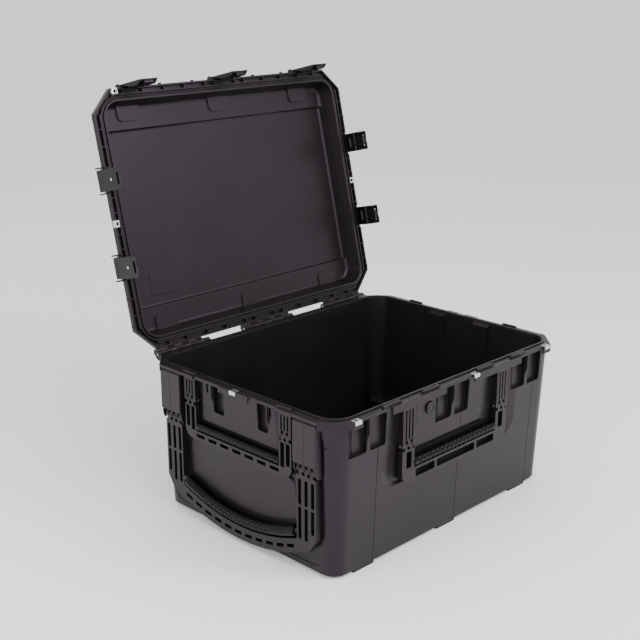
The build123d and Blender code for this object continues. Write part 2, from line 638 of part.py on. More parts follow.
# outer channel under the rim, with cross ribs, and the gasket's groove
chan = slab(octagon(4.5) - (octagon(13.5) & rrect(12.5, 55)), H - 1, H + 10)
ribs = []
for x in (-312, -256, -192, -130, -64, -33, 33, 64, 130, 192, 256, 312):
    ribs.append(side("front", box(x - 1.2, x + 1.2, 3, 15, z0, H + 11)))
    ribs.append(side("back", box(x - 1.2, x + 1.2, 3, 15, z0, H + 11)))
for y in (-218, -178, -130, -60, -25, 25, 60, 130, 178, 218):
    ribs.append(side("left", box(y - 1.2, y + 1.2, 3, 15, z0, H + 11)))
    ribs.append(side("right", box(y - 1.2, y + 1.2, 3, 15, z0, H + 11)))
lid -= chan
lid += ribs
lid -= slab(rrect(GASKET_V0, 54) - rrect(GASKET_V1, 45.5), H - 1, H + 8)

# outside: stacking recesses over the pads, long ribs on the panel
for u in FRONT_STATIONS:
    for s in (1, -1):
        lid -= slab(Pos(u, s * 253) * RectangleRounded(68, 36, 8), H + LID_TOP - 2.0, H + LID_TOP + 20)
for y in (-150, -90, -30, 30, 90, 150):
    rb = slab(Pos(0, y) * RectangleRounded(600, 16, 7.9), H + LID_PANEL - 1, H + LID_PANEL + 3)
    lid += rb
# ears of the latches; the rim steps back between them
for name, u in STATIONS:
    lid -= side(name, box(u - EAR_U, u + EAR_U, -8, 3.4, H - 1, H + 9))
    for e in lid_ears():
        lid += side(name, Pos(u, 0, 0) * e)
# short outside ribs on the rim
for name, us in (("left", (-242, -176, 176, 242)), ("right", (-242, -176, 176, 242)), ("front", (-200, -100, 100, 200))):
    for u in us:
        lid += side(name, prism([(4.4, z0), (-3.5, z0 + 0.5), (-3.5, H + 9), (2, H + LID_RIM), (16, H + 18), (16, H + 10.5),
                                 (4.4, H + 10.5)], u - 1.5, u + 1.5))
lid += lid_knuckles
for name, u in LID_LOOPS:
    lid -= side(name, box(u - LID_W2, u + LID_W2, -8, 13.0, H - 1, H + 0.5 + LOOP_T))
    lid -= side(name, box(u - LID_W2, u + LID_W2, -8, 1.0, H - 1, H + 0.5 + LOOP_T + 6.0))
    lid -= side(name, rod_z(H - 1, H + 14, u, LOOP_V, LOOP_R + 0.5))

# the base's moulding is held as its floor and four walls, parted on mitre lines
ci, cj = W / 2 - 46.0, D / 2 - 46.0
far = 120.0
quad = {"front": [(-ci, -cj), (ci, -cj), (ci + far, -cj - far), (-ci - far, -cj - far)],
        "back": [(-ci, cj), (-ci - far, cj + far), (ci + far, cj + far), (ci, cj)],
        "left": [(-ci, -cj), (-ci - far, -cj - far), (-ci - far, cj + far), (-ci, cj)],
        "right": [(ci, -cj), (ci, cj), (ci + far, cj + far), (ci + far, -cj - far)]}
right_in = box(WELL["x0"] - 12, ci, -cj, cj, FLOOR_Z, H + 20)
nodes = {}
nodes["base_floor"] = base & box(-W, W, -D, D, -5, FLOOR_Z)
for q, pts in quad.items():
    reg = slab(Polygon(*pts, align=None), FLOOR_Z, H + 60)
    if q == "right":
        reg += right_in
    nodes["base_wall_" + q] = base & reg
nodes["lid_shell"] = opened(lid)

# ================================================================ seal, pins
print("small pieces")
nodes["lid_gasket"] = opened(slab(rrect(GASKET_V0 + 0.05, 54) - rrect(GASKET_V1 - 0.05, 45.5), H + LIP_H + 0.3, H + 7.9))
nodes["hinge_pins"] = Compound(children=[
    rod_x(a + 1.5, b - 1.5, HINGE_Y, HINGE_Z, PIN_R) for a, b in ((-359, -199), (-84.5, 84.5), (199, 359))])
nodes["base_lock_plates"] = Compound(children=[side(n, Pos(u, 0, 0) * lock_plate(H - 0.1 - LOOP_T, H - 0.1, False, LOOP_W2))
                                               for n, u in BASE_LOOPS])
nodes["lid_lock_plates"] = opened(Compound(children=[side(n, Pos(u, 0, 0) * lock_plate(H + 0.5, H + 0.5 + LOOP_T, True, LID_W2))
                                                     for n, u in LID_LOOPS]))

# latches: arm, trigger, spring
arm, trig, spring = latch_arm(), latch_trigger(), latch_spring()
NAMES = ["front_left", "front_middle", "front_right", "left_rear", "left_front", "right_front", "right_rear"]
pins = []
for (name, u), tag in zip(STATIONS, NAMES):
    nodes["latch_" + tag] = opened(side(name, Pos(u, 0, 0) * arm))
    nodes["latch_trigger_" + tag] = opened(side(name, Pos(u, 0, 0) * trig))
    nodes["trigger_spring_" + tag] = opened(side(name, Pos(u, 0, 0) * spring))
    pins.append(side(name, rod_x(u - EAR_U - 1.5, u + EAR_U + 1.5, LATCH_PV, H + LATCH_PZ, LATCH_PIN_R)))
nodes["latch_pins"] = opened(Compound(children=pins))

# ================================================================== handles
print("handles")
fw = [(-141, -76), (-68, 68), (76, 141)]
aw = (FRONT_H["a1"] - FRONT_H["a0"]) / 2
front_frame = handle_frame(FRONT_H, fw, [(FRONT_H["a0"] + 10, FRONT_H["a0"] + 27, 204, 242)])
nodes["front_handle_frame"] = side("front", front_frame)
nodes["front_handle_grip"] = side("front", straight_grip(FRONT_H))
cw = [(k * 40.5 - 14, k * 40.5 + 14) for k in range(-3, 4)]
carry = handle_frame(CARRY_H, cw, [(CARRY_H["a0"] + 5, CARRY_H["a0"] + 16.5, 232, 288),
                                   (CARRY_H["a0"] + 22, CARRY_H["a0"] + 33.5, 238, 288)])
cgrip = straight_grip(CARRY_H)
for s in ("left", "right"):
    nodes[s + "_carry_handle_frame"] = side(s, carry)
    nodes[s + "_carry_handle_grip"] = side(s, cgrip)
pull = pull_frame()
pull += pull_arc(7.0, P_A0 + 4)
pull_grip = pull_arc(GRIP_R, P_A0 - 8) - pull_arc(7.0, P_A0 + 4)
nodes["pull_handle_frame"] = side("left", pull)
nodes["pull_handle_grip"] = side("left", pull_grip)
cover = pull_cover()
nodes["pull_handle_cover_front"] = side("left", cover)
nodes["pull_handle_cover_rear"] = side("left", mirror_u(cover))
hp = [side("front", p) for p in handle_pins(FRONT_H)]
hp += [side(s, p) for s in ("left", "right") for p in handle_pins(CARRY_H)]
pp = rod_x(P_A0 + 0.5, P_A1 - 0.5, H_PV, P_PZ, H_PIN_R)
hp += [side("left", pp), side("left", mirror_u(pp))]
nodes["handle_pins"] = Compound(children=hp)

# ==================================================================== valve
vb = WALL_TOP + 1.5
valve = rod_y(vb - 5, vb - 1.5, VALVE_U, VALVE_Z, 14.0)
valve = chamfer_if(valve, valve.edges().group_by(Axis.Y)[0], 1.5)
valve += rod_y(vb - 2, VALVE_IN + 8, VALVE_U, VALVE_Z, 8.0)
valve -= rod_y(vb - 6, vb - 4, VALVE_U, VALVE_Z, 9.0)
valve += rod_y(vb - 4.6, vb - 3, VALVE_U, VALVE_Z, 6.5)
valve -= rod_y(vb + 2, VALVE_IN + 9, VALVE_U, VALVE_Z, 4.0)
nodes["valve_body"] = side("front", valve)
nodes["valve_seal"] = side("front", rod_y(vb - 1.5, vb, VALVE_U, VALVE_Z, 12.0) - rod_y(vb - 2, vb + 1, VALVE_U, VALVE_Z, 8.05))
nut = plate(Pos(VALVE_U, VALVE_Z) * RegularPolygon(13, 6), VALVE_IN, VALVE_IN + 6)
nodes["valve_nut"] = side("front", nut - rod_y(VALVE_IN - 1, VALVE_IN + 7, VALVE_U, VALVE_Z, 8.05))

# =================================================================== wheels
print("wheels")
axles, screws = [], []
for s, tag in ((-1, "front"), (1, "rear")):
    yc = s * WHEEL_Y
    hub = rod_y(yc - WHEEL_W / 2, yc + WHEEL_W / 2, WHEEL_X, WHEEL_Z, 12.0)
    hub += rod_y(yc - WHEEL_W / 2 + 5, yc + WHEEL_W / 2 - 5, WHEEL_X, WHEEL_Z, 25.0)
    for f in (1, -1):
        hub -= (rod_y(*sorted((yc + f * 12, yc + f * 18)), WHEEL_X, WHEEL_Z, 21.5)
                - rod_y(*sorted((yc + f * 11, yc + f * 19)), WHEEL_X, WHEEL_Z, 12.0)) \
            - box(WHEEL_X - 2, WHEEL_X + 2, *sorted((yc + f * 11, yc + f * 17)), 0, 90) \
            - box(0, 500, *sorted((yc + f * 11, yc + f * 17)), WHEEL_Z - 2, WHEEL_Z + 2)
    hub -= rod_y(yc - 40, yc + 40, WHEEL_X, WHEEL_Z, AXLE_R + 0.05)
    tyre = rod_y(yc - WHEEL_W / 2 + 4, yc + WHEEL_W / 2 - 4, WHEEL_X, WHEEL_Z, WHEEL_R)
    tyre = fillet_if(tyre, tyre.edges().filter_by(GeomType.CIRCLE), 4.0)
    tyre -= rod_y(yc - 30, yc + 30, WHEEL_X, WHEEL_Z, 25.0)
    nodes["wheel_hub_" + tag] = hub
    nodes["wheel_tyre_" + tag] = tyre
    # housing: a cup in the well with two cheeks that hold the axle
    ya, yb = yc - 31 + 0.2, yc + 31 - 0.2
    hous = box(WELL["x0"] + 0.0, 372.0, ya, yb, 2.0, WELL["z1"] - 0.3)
    hous = fillet_if(hous, hous.edges().filter_by(Axis.Y).group_by(Axis.Z)[-1].sort_by(Axis.X)[:1], 10.5)
    hin = box(WELL["x0"] + 1.6, 420, ya + 5, yb - 5, 0, WELL["z1"] - 3.3)
    hin = fillet_if(hin, hin.edges().filter_by(Axis.Y).group_by(Axis.Z)[-1].sort_by(Axis.X)[:1], 9.0)
    hous -= hin
    hous -= rod_y(ya - 1, yb + 1, WHEEL_X, WHEEL_Z, AXLE_R + 0.05)
    for dy in (-16, 16):
        hous -= rod_x(WELL["x0"] - 1, WELL["x0"] + 4, yc + dy, 60, 2.45)
        sc = rod_x(WELL["x0"] - 5.5, WELL["x0"] + 1.6, yc + dy, 60, 2.4)
        sc += rod_x(WELL["x0"] - 4.5 - 2.8, WELL["x0"] - 4.5, yc + dy, 60, 4.6)
        screws.append(sc)
    nodes["wheel_housing_" + tag] = hous
    axles.append(rod_y(ya + 0.2, yb - 0.2, WHEEL_X, WHEEL_Z, AXLE_R))
nodes["wheel_axles"] = Compound(children=axles)
nodes["housing_screws"] = Compound(children=screws)

# =================================================================== export
for name, shape in nodes.items():
    n = len(shape.solids())
    print(f"  {name:34s} solids {n}")
    export_step(shape, f"parts/{name}.step")
print(len(nodes), "nodes")
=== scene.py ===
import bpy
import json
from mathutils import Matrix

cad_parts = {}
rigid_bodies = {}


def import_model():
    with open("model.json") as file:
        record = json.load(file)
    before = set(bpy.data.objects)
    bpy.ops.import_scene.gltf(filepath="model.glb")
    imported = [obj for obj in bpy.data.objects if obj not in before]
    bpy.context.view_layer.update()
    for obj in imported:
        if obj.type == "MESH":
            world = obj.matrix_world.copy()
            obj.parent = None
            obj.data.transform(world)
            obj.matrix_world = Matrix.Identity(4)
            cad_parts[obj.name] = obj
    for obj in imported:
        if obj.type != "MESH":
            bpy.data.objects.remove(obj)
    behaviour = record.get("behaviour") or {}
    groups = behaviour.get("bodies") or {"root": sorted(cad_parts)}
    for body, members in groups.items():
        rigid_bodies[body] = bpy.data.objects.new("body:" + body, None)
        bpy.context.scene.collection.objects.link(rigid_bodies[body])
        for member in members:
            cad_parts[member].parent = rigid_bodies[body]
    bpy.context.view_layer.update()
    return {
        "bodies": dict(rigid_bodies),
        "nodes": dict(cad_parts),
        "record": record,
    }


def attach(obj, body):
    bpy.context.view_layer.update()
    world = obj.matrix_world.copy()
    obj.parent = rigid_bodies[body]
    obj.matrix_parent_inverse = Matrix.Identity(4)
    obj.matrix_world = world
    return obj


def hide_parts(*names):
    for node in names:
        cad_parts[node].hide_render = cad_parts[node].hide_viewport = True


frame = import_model()

import bpy, bmesh, json, math
from mathutils import Matrix, Vector
from math import cos, sin, pi, radians, sqrt

N = frame["nodes"]
BODIES = frame["bodies"]

# ------------------------------------------------------------ the case's sizes
W, D, H = 0.806, 0.616, 0.365
HINGE = Vector((0.0, D / 2 + 0.0116, H - 0.0043))
LID_OPEN = radians(103.3)


# ================================================================ materials
def nodes_of(m):
    m.use_nodes = True
    nt = m.node_tree
    nt.nodes.clear()
    return nt, nt.nodes, nt.links


def mix(nt, fac, a, b, blend="MIX"):
    n = nt.nodes.new("ShaderNodeMix")
    n.data_type = "RGBA"
    n.blend_type = blend
    if isinstance(fac, (int, float)):
        n.inputs[0].default_value = fac
    else:
        nt.links.new(fac, n.inputs[0])
    for sock, v in ((n.inputs[6], a), (n.inputs[7], b)):
        if isinstance(v, tuple):
            sock.default_value = v if len(v) == 4 else (*v, 1.0)
        else:
            nt.links.new(v, sock)
    return n.outputs[2]


def math_n(nt, op, a, b=None, c=None, clamp=False):
    n = nt.nodes.new("ShaderNodeMath")
    n.operation = op
    n.use_clamp = clamp
    for i, v in enumerate((a, b, c)):
        if v is None:
            continue
        if isinstance(v, (int, float)):
            n.inputs[i].default_value = v
        else:
            nt.links.new(v, n.inputs[i])
    return n.outputs[0]


def ramp(nt, fac, lo, hi, a=0.0, b=1.0):
    n = nt.nodes.new("ShaderNodeMapRange")
    n.inputs["From Min"].default_value = lo
    n.inputs["From Max"].default_value = hi
    n.inputs["To Min"].default_value = a
    n.inputs["To Max"].default_value = b
    nt.links.new(fac, n.inputs["Value"])
    return n.outputs[0]


def noise(nt, coord, scale, detail=4.0, rough=0.55, dist=0.0):
    n = nt.nodes.new("ShaderNodeTexNoise")
    n.inputs["Scale"].default_value = scale
    n.inputs["Detail"].default_value = detail
    n.inputs["Roughness"].default_value = rough
    n.inputs["Distortion"].default_value = dist
    nt.links.new(coord, n.inputs["Vector"])
    return n.outputs["Fac"]


def voronoi(nt, coord, scale, feature="F1"):
    n = nt.nodes.new("ShaderNodeTexVoronoi")
    n.feature = feature
    n.inputs["Scale"].default_value = scale
    nt.links.new(coord, n.inputs["Vector"])
    return n.outputs["Distance"]


def stretched(nt, coord, s):
    n = nt.nodes.new("ShaderNodeMapping")
    n.inputs["Scale"].default_value = s
    nt.links.new(coord, n.inputs["Vector"])
    return n.outputs[0]


def edge_mask(nt, radius, lo=0.02, hi=0.35):
    """1 along the solid's corners, 0 on its faces"""
    bv = nt.nodes.new("ShaderNodeBevel")
    bv.samples = 6
    bv.inputs["Radius"].default_value = radius
    geo = nt.nodes.new("ShaderNodeNewGeometry")
    dot = nt.nodes.new("ShaderNodeVectorMath")
    dot.operation = "DOT_PRODUCT"
    nt.links.new(bv.outputs[0], dot.inputs[0])
    nt.links.new(geo.outputs["Normal"], dot.inputs[1])
    return ramp(nt, math_n(nt, "SUBTRACT", 1.0, dot.outputs["Value"]), lo, hi), bv


def seam_factor(nt, co):
    """0 on the planes where the base's one moulding is parted into nodes, 1 away from them"""
    sep = nt.nodes.new("ShaderNodeSeparateXYZ")
    nt.links.new(co, sep.inputs[0])
    ax = math_n(nt, "ABSOLUTE", sep.outputs[0])
    ay = math_n(nt, "ABSOLUTE", sep.outputs[1])
    d1 = math_n(nt, "ABSOLUTE", math_n(nt, "SUBTRACT", math_n(nt, "SUBTRACT", ax, ay), 0.095))
    d2 = math_n(nt, "ABSOLUTE", math_n(nt, "SUBTRACT", sep.outputs[2], 0.012))
    return ramp(nt, math_n(nt, "MINIMUM", d1, d2), 0.0022, 0.0040)


def plastic(name, base, rough, grain=1.0, edge=0.35, bevel=0.0009, dust=0.10, specular=0.5, grain_scale=2600.0, seams=False):
    """moulded plastic: fine spark-eroded grain, faint flow marks and dust, corners rubbed paler"""
    m = bpy.data.materials.new(name)
    nt, nd, lk = nodes_of(m)
    out = nd.new("ShaderNodeOutputMaterial")
    bs = nd.new("ShaderNodeBsdfPrincipled")
    lk.new(bs.outputs[0], out.inputs[0])
    tc = nd.new("ShaderNodeTexCoord")
    co = tc.outputs["Object"]
    fine = noise(nt, co, grain_scale, 3.0, 0.6)
    mid = noise(nt, co, 160.0, 5.0, 0.6, 0.3)
    large = noise(nt, co, 7.0, 3.0, 0.5)
    flow = noise(nt, stretched(nt, co, (5.0, 5.0, 42.0)), 1.6, 4.0, 0.55, 0.6)
    mask, bv = edge_mask(nt, bevel * 1.7)
    worn = math_n(nt, "MULTIPLY", mask, ramp(nt, mid, 0.35, 0.75, 0.35, 1.0))
    if seams:
        away = seam_factor(nt, co)
        worn = math_n(nt, "MULTIPLY", worn, away)
    dark = tuple(c * 0.82 for c in base)
    light = tuple(c * 1.17 for c in base)
    col = mix(nt, ramp(nt, large, 0.35, 0.7), dark, light)
    dusty = tuple(min(1.0, c * 1.9 + 0.012) for c in base)
    specks = ramp(nt, noise(nt, co, 900.0, 2.0, 0.7), 0.66, 0.8)
    col = mix(nt, math_n(nt, "MULTIPLY", specks, dust), col, dusty)
    rub = tuple(min(1.0, c * 2.4 + 0.02) for c in base)
    col = mix(nt, math_n(nt, "MULTIPLY", worn, edge), col, rub)
    lk.new(col, bs.inputs["Base Color"])
    r = math_n(nt, "ADD", ramp(nt, mid, 0.2, 0.8, rough - 0.05, rough + 0.06), ramp(nt, flow, 0.3, 0.7, -0.03, 0.03))
    r = math_n(nt, "SUBTRACT", r, math_n(nt, "MULTIPLY", worn, 0.08))
    lk.new(r, bs.inputs["Roughness"])
    bs.inputs["Specular IOR Level"].default_value = specular
    bs.inputs["Specular Tint"].default_value = (1.0, 0.86, 1.0, 1.0)
    hgt = math_n(nt, "ADD", math_n(nt, "MULTIPLY", fine, 0.75), math_n(nt, "MULTIPLY", flow, 0.25))
    bump = nd.new("ShaderNodeBump")
    bump.inputs["Strength"].default_value = 0.20 * grain
    bump.inputs["Distance"].default_value = 0.00012
    lk.new(hgt, bump.inputs["Height"])
    edge_n = nd.new("ShaderNodeBevel")
    edge_n.samples = 6
    edge_n.inputs["Radius"].default_value = bevel
    if seams:
        geo = nd.new("ShaderNodeNewGeometry")
        nm = nd.new("ShaderNodeMix")
        nm.data_type = "VECTOR"
        lk.new(away, nm.inputs[0])
        lk.new(geo.outputs["Normal"], nm.inputs[4])
        lk.new(edge_n.outputs[0], nm.inputs[5])
        lk.new(nm.outputs[1], bump.inputs["Normal"])
    else:
        lk.new(edge_n.outputs[0], bump.inputs["Normal"])
    lk.new(bump.outputs[0], bs.inputs["Normal"])
    return m


def rubber(name, base, rough, bevel=0.0006, specular=0.30, sheen=0.0):
    """soft rubber: matte, cloudy tone that varies at random, corners a little paler, fine pores"""
    m = bpy.data.materials.new(name)
    nt, nd, lk = nodes_of(m)
    out = nd.new("ShaderNodeOutputMaterial")
    bs = nd.new("ShaderNodeBsdfPrincipled")
    lk.new(bs.outputs[0], out.inputs[0])
    tc = nd.new("ShaderNodeTexCoord")
    co = tc.outputs["Object"]
    pores = voronoi(nt, co, 1500.0)
    cloud = noise(nt, co, 45.0, 5.0, 0.6, 0.4)
    col = mix(nt, ramp(nt, cloud, 0.3, 0.75), tuple(c * 0.75 for c in base), tuple(c * 1.35 for c in base))
    mask, bv = edge_mask(nt, bevel * 2)
    col = mix(nt, math_n(nt, "MULTIPLY", mask, 0.3), col, tuple(c * 2.4 + 0.002 for c in base))
    lk.new(col, bs.inputs["Base Color"])
    lk.new(ramp(nt, cloud, 0.25, 0.75, rough - 0.07, rough + 0.08), bs.inputs["Roughness"])
    bs.inputs["Specular IOR Level"].default_value = specular
    bs.inputs["Specular Tint"].default_value = (1.0, 0.88, 1.0, 1.0)
    bs.inputs["Sheen Weight"].default_value = sheen
    bs.inputs["Sheen Roughness"].default_value = 0.5
    bump = nd.new("ShaderNodeBump")
    bump.inputs["Strength"].default_value = 0.15
    bump.inputs["Distance"].default_value = 0.00008
    lk.new(pores, bump.inputs["Height"])
    edge_n = nd.new("ShaderNodeBevel")
    edge_n.samples = 4
    edge_n.inputs["Radius"].default_value = bevel
    lk.new(edge_n.outputs[0], bump.inputs["Normal"])
    lk.new(bump.outputs[0], bs.inputs["Normal"])
    return m


def steel(name, base, rough, along=(1.0, 1.0, 1.0), bevel=0.0004):
    """brushed or drawn steel with fine lines, faint tarnish and rubbed corners"""
    m = bpy.data.materials.new(name)
    nt, nd, lk = nodes_of(m)
    out = nd.new("ShaderNodeOutputMaterial")
    bs = nd.new("ShaderNodeBsdfPrincipled")
    lk.new(bs.outputs[0], out.inputs[0])
    tc = nd.new("ShaderNodeTexCoord")
    co = tc.outputs["Object"]
    lines = noise(nt, stretched(nt, co, along), 900.0, 4.0, 0.65)
    spots = noise(nt, co, 240.0, 5.0, 0.6)
    col = mix(nt, ramp(nt, spots, 0.3, 0.75), tuple(c * 0.86 for c in base), base)
    mask, bv = edge_mask(nt, bevel * 2)
    col = mix(nt, math_n(nt, "MULTIPLY", mask, 0.5), col, tuple(min(1.0, c * 1.15 + 0.04) for c in base))
    lk.new(col, bs.inputs["Base Color"])
    bs.inputs["Metallic"].default_value = 1.0
    r = math_n(nt, "ADD", ramp(nt, lines, 0.25, 0.75, rough - 0.06, rough + 0.08), ramp(nt, spots, 0.4, 0.8, 0.0, 0.08))
    lk.new(r, bs.inputs["Roughness"])
    bump = nd.new("ShaderNodeBump")
    bump.inputs["Strength"].default_value = 0.12
    bump.inputs["Distance"].default_value = 0.00006
    lk.new(lines, bump.inputs["Height"])
    edge_n = nd.new("ShaderNodeBevel")
    edge_n.samples = 4
    edge_n.inputs["Radius"].default_value = bevel
    lk.new(edge_n.outputs[0], bump.inputs["Normal"])
    lk.new(bump.outputs[0], bs.inputs["Normal"])
    return m


MAT = {
    "case_plastic": plastic("case_plastic", (0.0066, 0.0052, 0.0066), 0.38, 1.0, 0.40, 0.0011, specular=0.30, seams=True),
    "latch_plastic": plastic("latch_plastic", (0.0056, 0.0046, 0.0056), 0.33, 0.8, 0.42, 0.0008, specular=0.30),
    "handle_plastic": plastic("handle_plastic", (0.0066, 0.0053, 0.0066), 0.34, 0.9, 0.50, 0.0009, specular=0.33),
    "valve_plastic": plastic("valve_plastic", (0.0070, 0.0060, 0.0070), 0.30, 0.6, 0.36, 0.0006, specular=0.33),
    "wheel_plastic": plastic("wheel_plastic", (0.0066, 0.0058, 0.0066), 0.45, 0.9, 0.35, 0.0008, specular=0.30),
    "grip_rubber": rubber("grip_rubber", (0.0012, 0.0010, 0.0012), 0.21, specular=0.15),
    "seal_rubber": rubber("seal_rubber", (0.0040, 0.0037, 0.0040), 0.45),
    "wheel_tyre": rubber("wheel_tyre", (0.0060, 0.0056, 0.0060), 0.62),
    "loop_steel": steel("loop_steel", (0.62, 0.62, 0.62), 0.30),
    "pin_steel": steel("pin_steel", (0.55, 0.55, 0.56), 0.30, (0.05, 1.0, 1.0)),
    "spring_steel": steel("spring_steel", (0.45, 0.45, 0.46), 0.34),
    "screw_steel": steel("screw_steel", (0.50, 0.50, 0.50), 0.35),
}
slot_of = {s["node"]: s["material_slot"] for s in frame["record"]["subparts"]}
for name, o in N.items():
    mat = MAT[slot_of[name]]
    if not o.material_slots:
        o.data.materials.append(mat)
    for ms in o.material_slots:
        ms.material = mat

# ================================================================ new pieces
SIDES = {"front": (0.0, D / 2), "left": (-90.0, W / 2), "right": (90.0, W / 2), "back": (180.0, D / 2)}


def at_side(name, u, v, z):
    """a point of a side's own frame: u along the side, v inwards from the rim's edge"""
    ang, half = SIDES[name]
    a = radians(ang)
    x, y = u, v - half
    return Vector((x * cos(a) - y * sin(a), x * sin(a) + y * cos(a), z))


LID_TURN = Matrix.Translation(HINGE) @ Matrix.Rotation(-LID_OPEN, 4, "X") @ Matrix.Translation(-HINGE)


def link(name, bm, mat, body, replaced=(), smooth=True, sharp=35.0):
    bmesh.ops.recalc_face_normals(bm, faces=bm.faces[:])
    me = bpy.data.meshes.new(name)
    bm.to_mesh(me)
    bm.free()
    for p in me.polygons:
        p.use_smooth = smooth
    me.set_sharp_from_angle(angle=radians(sharp))
    o = bpy.data.objects.new(name, me)
    bpy.context.scene.collection.objects.link(o)
    me.materials.append(mat)
    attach(o, body)
    if replaced:
        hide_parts(*replaced)
    return o


def sweep_rings(bm, rings, closed=False, caps=True):
    """skin over rings of points that all have the same count"""
    vs = [[bm.verts.new(p) for p in ring] for ring in rings]
    n = len(vs[0])
    pairs = list(zip(vs, vs[1:])) + ([(vs[-1], vs[0])] if closed else [])
    for a, b in pairs:
        for i in range(n):
            j = (i + 1) % n
            bm.faces.new((a[i], a[j], b[j], b[i]))
    if caps and not closed:
        bm.faces.new(vs[0])
        bm.faces.new(list(reversed(vs[-1])))


def smooth01(x):
    x = min(1.0, max(0.0, x))
    return x * x * (3 - 2 * x)


def grip_radius(s, length, r_low, r_high, pitch, plain):
    """radius along a ribbed grip: rounded ends, plain shoulders, rings in the middle"""
    e = 0.0022
    d = min(s, length - s)
    r = r_high - 0.0003
    if d > plain:
        k = (d - plain) / pitch
        f = k - math.floor(k)
        ring = smooth01((0.5 - abs(f - 0.5)) / 0.5 * 2.1 - 0.35)
        r = r_low + (r_high - r_low) * ring
        if d - plain < 0.0015:
            t = smooth01((d - plain) / 0.0015)
            r = (r_high - 0.0003) * (1 - t) + r * t
    if d < e:
        r -= (1 - sqrt(max(0.0, 1 - (1 - d / e) ** 2))) * e
    return r


def ribbed_grip(name, node, body, side_name, centre, half, r_low, r_high, pitch, plain, arc=None):
    """rubber grip moulded round a handle's bar; arc = (window radius, lowest point, offset) for the curved one"""
    bm = bmesh.new()
    rings, n = [], 30
    if arc:
        rad, low, off = arc
        r = rad + off
        cz = low + rad
        t_end = math.asin(half / r)
        length = 2 * t_end * r
    else:
        length = 2 * half
    steps = int(length / 0.0009)
    for i in range(steps + 1):
        s = length * i / steps
        rr = grip_radius(s, length, r_low, r_high, pitch, plain)
        if arc:
            t = -t_end + s / r
            cu, cv, cz_ = r * sin(t), centre[0], cz - r * cos(t)
            du, dz = cos(t), sin(t)
        else:
            cu, cv, cz_ = -half + s, centre[0], centre[1]
            du, dz = 1.0, 0.0
        ring = []
        for k in range(n):
            a = 2 * pi * k / n
            # a shallow seam runs along the back of the rubber
            q = rr - 0.0005 * math.exp(-((a - pi / 2) / 0.09) ** 2)
            ring.append(at_side(side_name, cu - dz * q * cos(a), cv + q * sin(a), cz_ + du * q * cos(a)))
        rings.append(ring)
    sweep_rings(bm, rings)
    return link(name, bm, MAT["grip_rubber"], body, (node,), sharp=60.0)


ribbed_grip("front_handle_grip_ribbed", "front_handle_grip", "front_handle", "front", (0.015, 0.211), 0.1454, 0.0088, 0.0105, 0.0155, 0.014)
for sd in ("left", "right"):
    ribbed_grip(sd + "_carry_handle_grip_ribbed", sd + "_carry_handle_grip", sd + "_carry_handle", sd, (0.015, 0.2415), 0.1349, 0.0084, 0.0098, 0.0118, 0.012)
ribbed_grip("pull_handle_grip_ribbed", "pull_handle_grip", "pull_handle", "left", (0.015, 0.0), 0.180, 0.0116, 0.013, 0.0138, 0.075, (0.5, 0.027, -0.031))


def rounded_loop(hx, hy, r, n=14):
    """points and outward directions round a rounded rectangle"""
    out = []
    for cx, cy, a0 in ((hx - r, hy - r, 0), (-hx + r, hy - r, 90), (-hx + r, -hy + r, 180), (hx - r, -hy + r, 270)):
        for i in range(n + 1):
            a = radians(a0 + 90 * i / n)
            out.append((Vector((cx + r * cos(a), cy + r * sin(a), 0)), Vector((cos(a), sin(a), 0))))
    return out


def gasket():
    """hollow-looking rubber seal pressed into the lid's groove, with two soft lips"""
    v0, v1 = 0.017 + 0.00005, 0.0255 - 0.00005
    mid = (v0 + v1) / 2
    hw = (v1 - v0) / 2
    zt, zb = H + 0.0079, H + 0.0038
    prof = [(-hw, zt), (-hw, zb + 0.0016), (-hw * 0.86, zb + 0.0005), (-hw * 0.62, zb), (-hw * 0.38, zb + 0.0003), (-hw * 0.15, zb + 0.0012),
            (hw * 0.15, zb + 0.0012), (hw * 0.38, zb + 0.0003), (hw * 0.62, zb), (hw * 0.86, zb + 0.0005), (hw, zb + 0.0016), (hw, zt)]
    bm = bmesh.new()
    rings = []
    for p, d in rounded_loop(W / 2 - mid, D / 2 - mid, 0.054 - (mid - v0)):
        rings.append([LID_TURN @ (p + d * (-a) + Vector((0, 0, z))) for a, z in prof])
    sweep_rings(bm, rings, closed=True)
    return link("lid_gasket_lipped", bm, MAT["seal_rubber"], "lid", ("lid_gasket",), sharp=50.0)


gasket()


def tyre(tag, yc):
    """tyre with rounded shoulders, three grooves round it and cross cuts in the shoulders"""
    cx, cz, r_out, r_in, hw = 0.362, 0.037, 0.035, 0.02502, 0.018
    prof = []
    for y, r in ((-hw, r_in), (-hw, r_in + 0.004), (-hw + 0.0004, r_out - 0.0036), (-hw + 0.0013, r_out - 0.0017), (-hw + 0.0032, r_out - 0.0003),
                 (-0.0105, r_out), (-0.0100, r_out - 0.0013), (-0.0085, r_out - 0.0013), (-0.0080, r_out),
                 (-0.0012, r_out), (-0.0008, r_out - 0.0013), (0.0008, r_out - 0.0013), (0.0012, r_out),
                 (0.0080, r_out), (0.0085, r_out - 0.0013), (0.0100, r_out - 0.0013), (0.0105, r_out),
                 (hw - 0.0032, r_out - 0.0003), (hw - 0.0013, r_out - 0.0017), (hw - 0.0004, r_out - 0.0036), (hw, r_in + 0.004), (hw, r_in)):
        prof.append((y, r))
    bm = bmesh.new()
    rings, n = [], 144
    for i in range(n):
        a = 2 * pi * i / n
        cut = 0.0007 if i % 8 in (0, 1) else 0.0
        ring = []
        for y, r in prof:
            rr = r - cut if (abs(y) > 0.0101 and r > r_out - 0.0005) else r
            ring.append(Vector((cx + rr * cos(a), yc + y, cz + rr * sin(a))))
        rings.append(ring)
    sweep_rings(bm, rings, closed=True)
    return link("wheel_tyre_%s_treaded" % tag, bm, MAT["wheel_tyre"], "wheel_" + tag, ("wheel_tyre_" + tag,), sharp=28.0)


